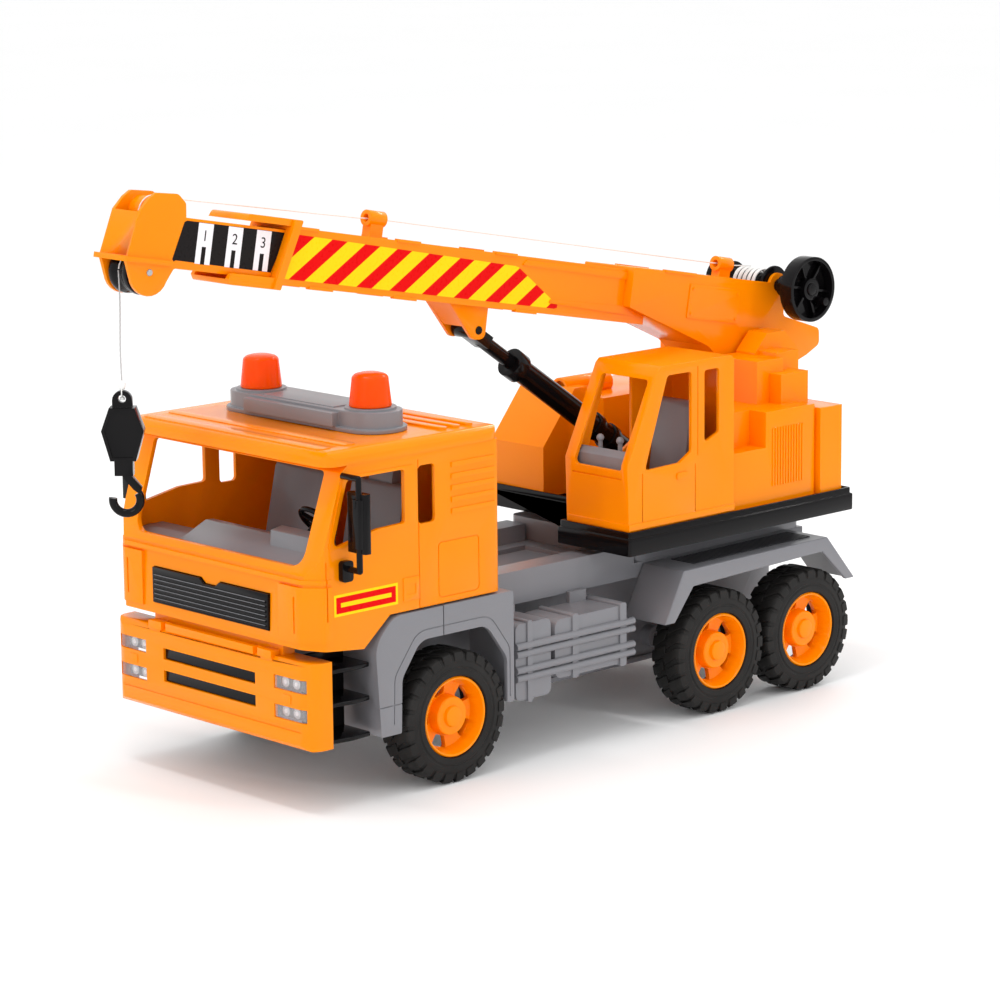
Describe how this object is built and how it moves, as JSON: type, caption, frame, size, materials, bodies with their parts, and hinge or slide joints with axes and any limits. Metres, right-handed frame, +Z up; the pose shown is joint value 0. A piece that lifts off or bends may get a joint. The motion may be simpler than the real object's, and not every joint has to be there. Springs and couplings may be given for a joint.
{
  "type": "toy crane truck",
  "caption": "Toy mobile crane truck: three-axle chassis with driver's cab, rotating turret, luffing telescopic boom, hand winch, rope and hook.",
  "frame": {"origin": "on the ground under the centre of the whole truck's bounding box", "axes": "+X to the truck's left side, +Y to its rear (the truck faces -Y), +Z up"},
  "size_m": [0.219, 0.5703, 0.3509],
  "materials": {
    "orange_body": "gloss",
    "grey_body": "semi-gloss",
    "black_body": "gloss",
    "tyre_rubber": "matte",
    "steel": "plated",
    "clear_lens": "clear",
    "beacon_lens": "gloss",
    "rope_fibre": "matte"
  },
  "bodies": {
    "chassis": {"chassis_frame": "grey_body", "belly_cover": "grey_body", "chassis_screws": "steel", "swing_pedestal": "grey_body", "cab_fender_left": "grey_body", "cab_fender_right": "grey_body", "rear_fender_left": "grey_body", "rear_fender_right": "grey_body", "tool_box_left": "grey_body", "tool_box_right": "grey_body", "cab_step_left": "black_body", "cab_step_right": "black_body", "bumper": "orange_body", "bumper_insert": "black_body", "headlights": "clear_lens", "cab_shell": "orange_body", "radiator_grille": "black_body", "cab_interior": "grey_body", "steering_wheel": "black_body", "light_bar": "grey_body", "beacon_left": "beacon_lens", "beacon_right": "beacon_lens", "mirror_left": "black_body", "mirror_right": "black_body"},
    "front_axle_set": {"front_axle": "steel", "front_tyre_left": "tyre_rubber", "front_tyre_right": "tyre_rubber", "front_rim_left": "orange_body", "front_rim_right": "orange_body"},
    "mid_axle_set": {"mid_axle": "steel", "mid_tyre_left": "tyre_rubber", "mid_tyre_right": "tyre_rubber", "mid_rim_left": "orange_body", "mid_rim_right": "orange_body"},
    "rear_axle_set": {"rear_axle": "steel", "rear_tyre_left": "tyre_rubber", "rear_tyre_right": "tyre_rubber", "rear_rim_left": "orange_body", "rear_rim_right": "orange_body"},
    "turret": {"turret_deck": "black_body", "turret_king_pin": "black_body", "turret_housing": "orange_body", "operator_cab": "orange_body", "operator_seat": "grey_body", "control_console": "grey_body", "boom_pivot_pin": "steel", "cylinder_cheeks": "black_body"},
    "boom": {"boom_outer": "orange_body", "boom_rope": "rope_fibre"},
    "extension": {"boom_inner": "orange_body", "head_pin": "steel"},
    "winch": {"winch_drum": "black_body", "rope_coil": "rope_fibre", "winch_handwheel": "black_body"},
    "pulley": {"head_pulley": "black_body"},
    "cylinder_rod_body": {"cylinder_rod": "black_body"},
    "cylinder_barrel_body": {"cylinder_barrel": "black_body"},
    "hoist_line": {"hanging_rope": "rope_fibre"},
    "tackle": {"hook_swivel": "rope_fibre"},
    "hook": {"hook_block": "black_body"}
  },
  "joints": [
    {"name": "front_axle_spin", "type": "hinge", "parent": "chassis", "child": "front_axle_set", "pos_m": [0, -0.111, 0.0395], "axis": [1, 0, 0], "continuous": true},
    {"name": "mid_axle_spin", "type": "hinge", "parent": "chassis", "child": "mid_axle_set", "pos_m": [0, 0.1135, 0.0395], "axis": [1, 0, 0], "continuous": true},
    {"name": "rear_axle_spin", "type": "hinge", "parent": "chassis", "child": "rear_axle_set", "pos_m": [0, 0.195, 0.0395], "axis": [1, 0, 0], "continuous": true},
    {"name": "turret_swing", "type": "hinge", "parent": "chassis", "child": "turret", "pos_m": [0, 0.148, 0.112], "axis": [0, 0, 1], "continuous": true},
    {"name": "boom_luff", "type": "hinge", "parent": "turret", "child": "boom", "pos_m": [0, 0.218, 0.204], "axis": [-1, 0, 0], "range_deg": [-4, 35]},
    {"name": "boom_extend", "type": "slide", "parent": "boom", "child": "extension", "axis": [0, -0.9829, 0.184], "range_m": [-0.036, 0.09], "deforming": ["boom_rope"]},
    {"name": "winch_spin", "type": "hinge", "parent": "boom", "child": "winch", "pos_m": [0, 0.24203, 0.24976], "axis": [1, 0, 0], "range_deg": [-140, 580]},
    {"name": "pulley_spin", "type": "hinge", "parent": "extension", "child": "pulley", "pos_m": [0, -0.26394, 0.30721], "axis": [1, 0, 0], "range_deg": [-125, 520]},
    {"name": "cylinder_pivot", "type": "hinge", "parent": "boom", "child": "cylinder_rod_body", "pos_m": [0, -0.0145, 0.24731], "axis": [-1, 0, 0], "range_deg": [-2, 2]},
    {"name": "cylinder_slide", "type": "slide", "parent": "cylinder_rod_body", "child": "cylinder_barrel_body", "axis": [0, 0.8262, -0.5634], "range_m": [-0.008, 0.06]},
    {"name": "hook_plumb", "type": "hinge", "parent": "extension", "child": "hoist_line", "pos_m": [0, -0.26394, 0.30721], "axis": [-1, 0, 0], "range_deg": [-36, 5]},
    {"name": "hook_hoist", "type": "slide", "parent": "hoist_line", "child": "tackle", "axis": [0, 0, 1], "range_m": [-0.105, 0.025], "deforming": ["hanging_rope"]},
    {"name": "hook_swivel_turn", "type": "hinge", "parent": "tackle", "child": "hook", "pos_m": [0, -0.27594, 0.2424], "axis": [0, 0, 1], "continuous": true}
  ],
  "couplings": [
    {"joint": "winch_spin", "follows": "hook_hoist", "rad_per_m": -96.15},
    {"joint": "pulley_spin", "follows": "hook_hoist", "rad_per_m": -85.47},
    {"joint": "hook_plumb", "follows": "boom_luff", "ratio": -1},
    {"joint": "cylinder_pivot", "follows": "boom_luff", "ratio": -0.0115},
    {"joint": "cylinder_slide", "follows": "boom_luff", "m_per_rad": 0.0961}
  ]
}
